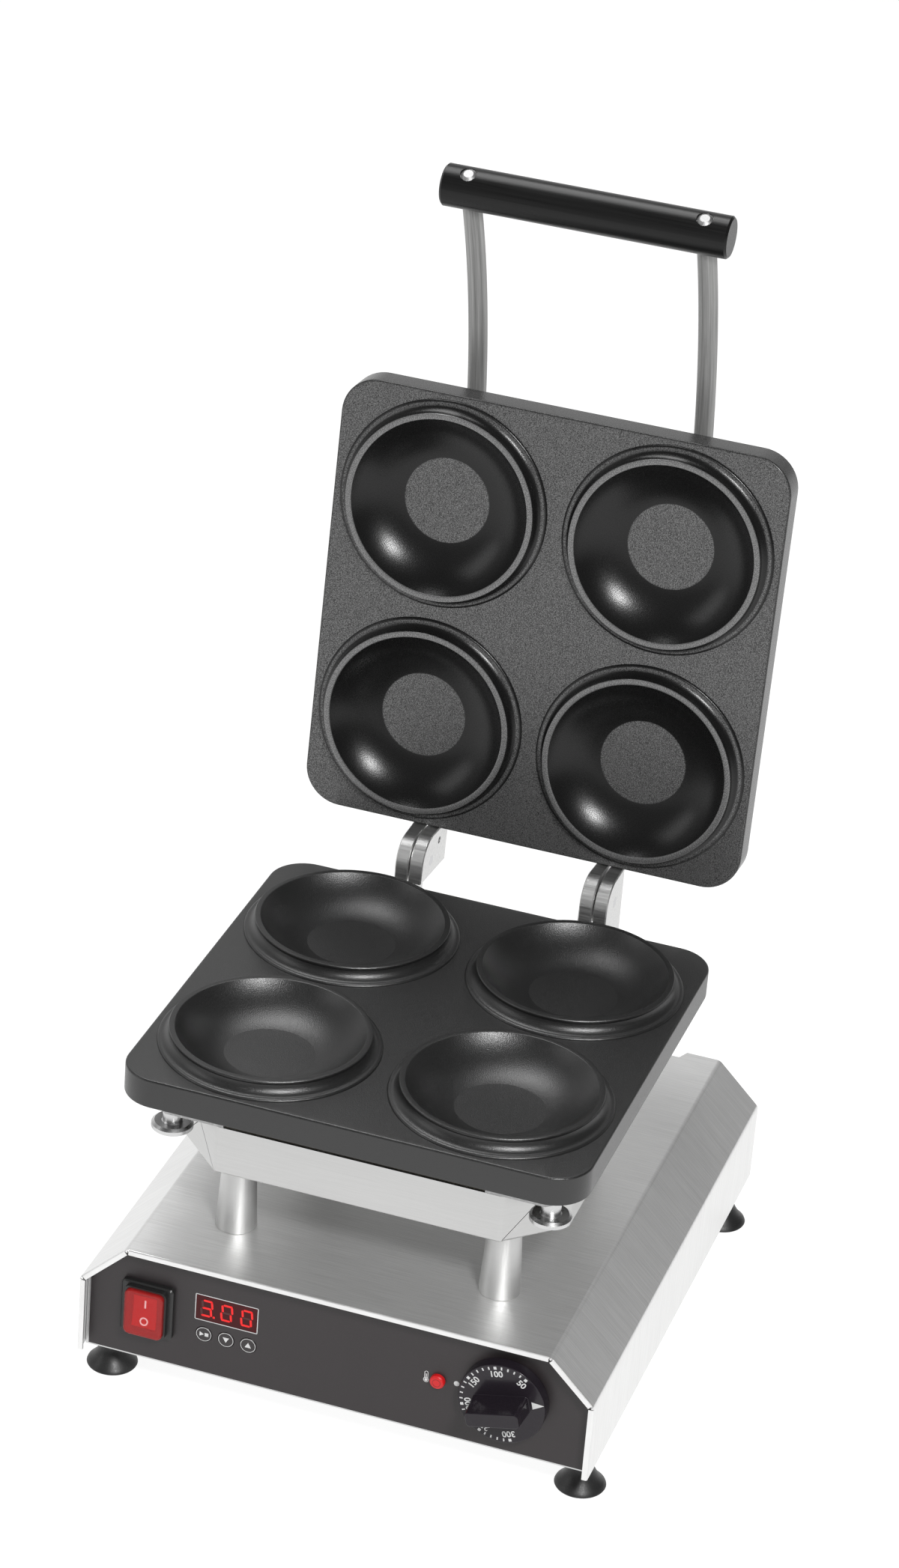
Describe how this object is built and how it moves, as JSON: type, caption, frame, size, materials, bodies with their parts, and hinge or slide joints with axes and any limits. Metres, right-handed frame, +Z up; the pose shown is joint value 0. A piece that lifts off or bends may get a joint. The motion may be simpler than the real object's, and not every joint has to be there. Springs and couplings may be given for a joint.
{
  "type": "jaffle maker",
  "caption": "Countertop toasted-sandwich maker with a hinged lid: cast plates with raised round cups on a steel base with switch, timer and thermostat knob.",
  "frame": {"origin": "on the floor, in the middle of the box that the open appliance takes up", "axes": "+X to the user's right along the hinge, +Y from the control panel to the back, +Z up"},
  "size_m": [0.3079, 0.3927, 0.6375],
  "materials": {
    "cover_steel": "brushed",
    "chassis_steel": "brushed",
    "foil_grey": "satin printed foil",
    "display_red": "smoked red window",
    "foot_rubber": "satin rubber",
    "screw_steel": "zinc plated",
    "leg_steel": "turned and polished",
    "tray_steel": "brushed",
    "heating_cast": "milled casting",
    "element_sheath": "dull",
    "insulation_wool": "mineral wool",
    "nonstick_black": "speckled non-stick coating on a casting",
    "stud_steel": "bright",
    "thumb_nut_steel": "turned and knurled",
    "arm_steel": "ground",
    "rod_steel": "brushed along",
    "bar_black": "satin turned plastic",
    "handle_screw_steel": "bright",
    "switch_black": "moulded",
    "hood_red": "clear flexible red",
    "rocker_red": "lit red",
    "board_green": "lacquered board",
    "key_foil": "satin printed foil",
    "lamp_red": "clear red",
    "knob_black": "glossy moulded",
    "thermostat_metal": "plain",
    "gland_black": "moulded",
    "terminal_white": "moulded"
  },
  "bodies": {
    "base": {"base_cover": "cover_steel", "chassis_tray": "chassis_steel", "control_foil": "foil_grey", "display_window": "display_red", "foot_front_left": "foot_rubber", "foot_front_right": "foot_rubber", "foot_nuts": "screw_steel", "foot_rear_left": "foot_rubber", "foot_rear_right": "foot_rubber", "hinge_arm_left": "arm_steel", "hinge_arm_right": "arm_steel", "hinge_arm_screws": "screw_steel", "hinge_pins": "stud_steel", "indicator_lamp": "lamp_red", "leg_front_left": "leg_steel", "leg_front_right": "leg_steel", "leg_rear_left": "leg_steel", "leg_rear_right": "leg_steel", "lower_baking_plate": "nonstick_black", "lower_heater_tray": "tray_steel", "lower_heating_element": "element_sheath", "lower_heating_plate": "heating_cast", "lower_insulation": "insulation_wool", "lower_plate_studs": "stud_steel", "lower_tie_rods": "screw_steel", "mains_gland": "gland_black", "switch_frame": "switch_black", "switch_hood": "hood_red", "terminal_block": "terminal_white", "thermostat_body": "thermostat_metal", "timer_board": "board_green"},
    "lid": {"upper_baking_plate": "nonstick_black", "upper_heater_tray": "tray_steel", "upper_heating_element": "element_sheath", "upper_heating_plate": "heating_cast", "upper_insulation": "insulation_wool", "upper_plate_studs": "stud_steel", "upper_tie_screws": "screw_steel", "lid_arm_left": "arm_steel", "lid_arm_right": "arm_steel", "lid_arm_screws": "screw_steel", "handle_bar": "bar_black", "handle_rod_left": "rod_steel", "handle_rod_right": "rod_steel", "handle_screws": "handle_screw_steel", "handle_foot_screws": "screw_steel"},
    "power_rocker": {"power_rocker": "rocker_red"},
    "knob_body": {"thermostat_knob": "knob_black", "thermostat_spindle": "stud_steel"},
    "key_start_stop": {"key_start_stop": "key_foil"},
    "key_down": {"key_down": "key_foil"},
    "key_up": {"key_up": "key_foil"},
    "lower_thumb_nut_front_left": {"lower_thumb_nut_front_left": "thumb_nut_steel"},
    "lower_thumb_nut_front_right": {"lower_thumb_nut_front_right": "thumb_nut_steel"},
    "lower_thumb_nut_rear_left": {"lower_thumb_nut_rear_left": "thumb_nut_steel"},
    "lower_thumb_nut_rear_right": {"lower_thumb_nut_rear_right": "thumb_nut_steel"},
    "upper_thumb_nut_front_left": {"upper_thumb_nut_front_left": "thumb_nut_steel"},
    "upper_thumb_nut_front_right": {"upper_thumb_nut_front_right": "thumb_nut_steel"},
    "upper_thumb_nut_rear_left": {"upper_thumb_nut_rear_left": "thumb_nut_steel"},
    "upper_thumb_nut_rear_right": {"upper_thumb_nut_rear_right": "thumb_nut_steel"}
  },
  "joints": [
    {"name": "lid_hinge", "type": "hinge", "parent": "base", "child": "lid", "pos_m": [0, 0.09335, 0.2248], "axis": [1, 0, 0], "range_deg": [0, 95.83]},
    {"name": "power_rocker_tilt", "type": "hinge", "parent": "base", "child": "power_rocker", "pos_m": [-0.1114, -0.17322, 0.0583], "axis": [1, 0, 0], "range_deg": [0, 12]},
    {"name": "thermostat_turn", "type": "hinge", "parent": "base", "child": "knob_body", "pos_m": [0.098, -0.17922, 0.06], "axis": [0, -1, 0], "range_deg": [-95, 175]},
    {"name": "key_start_stop_press", "type": "slide", "parent": "base", "child": "key_start_stop", "axis": [0, 1, 0], "range_m": [0, 0.0004], "stiffness_N_per_m": 4000},
    {"name": "key_down_press", "type": "slide", "parent": "base", "child": "key_down", "axis": [0, 1, 0], "range_m": [0, 0.0004], "stiffness_N_per_m": 4000},
    {"name": "key_up_press", "type": "slide", "parent": "base", "child": "key_up", "axis": [0, 1, 0], "range_m": [0, 0.0004], "stiffness_N_per_m": 4000},
    {"name": "lower_thumb_nut_front_left_turn", "type": "hinge", "parent": "base", "child": "lower_thumb_nut_front_left", "pos_m": [-0.109, -0.15452, 0.1729], "axis": [0, 0, 1], "continuous": true},
    {"name": "lower_thumb_nut_front_right_turn", "type": "hinge", "parent": "base", "child": "lower_thumb_nut_front_right", "pos_m": [0.109, -0.15452, 0.1729], "axis": [0, 0, 1], "continuous": true},
    {"name": "lower_thumb_nut_rear_left_turn", "type": "hinge", "parent": "base", "child": "lower_thumb_nut_rear_left", "pos_m": [-0.109, 0.04428, 0.1729], "axis": [0, 0, 1], "continuous": true},
    {"name": "lower_thumb_nut_rear_right_turn", "type": "hinge", "parent": "base", "child": "lower_thumb_nut_rear_right", "pos_m": [0.109, 0.04428, 0.1729], "axis": [0, 0, 1], "continuous": true},
    {"name": "upper_thumb_nut_front_left_turn", "type": "hinge", "parent": "lid", "child": "upper_thumb_nut_front_left", "pos_m": [-0.109, 0.17017, 0.46613], "axis": [0, 0.9948, -0.1016], "continuous": true},
    {"name": "upper_thumb_nut_front_right_turn", "type": "hinge", "parent": "lid", "child": "upper_thumb_nut_front_right", "pos_m": [0.109, 0.17017, 0.46613], "axis": [0, 0.9948, -0.1016], "continuous": true},
    {"name": "upper_thumb_nut_rear_left_turn", "type": "hinge", "parent": "lid", "child": "upper_thumb_nut_rear_left", "pos_m": [-0.109, 0.14997, 0.26835], "axis": [0, 0.9948, -0.1016], "continuous": true},
    {"name": "upper_thumb_nut_rear_right_turn", "type": "hinge", "parent": "lid", "child": "upper_thumb_nut_rear_right", "pos_m": [0.109, 0.14997, 0.26835], "axis": [0, 0.9948, -0.1016], "continuous": true}
  ]
}
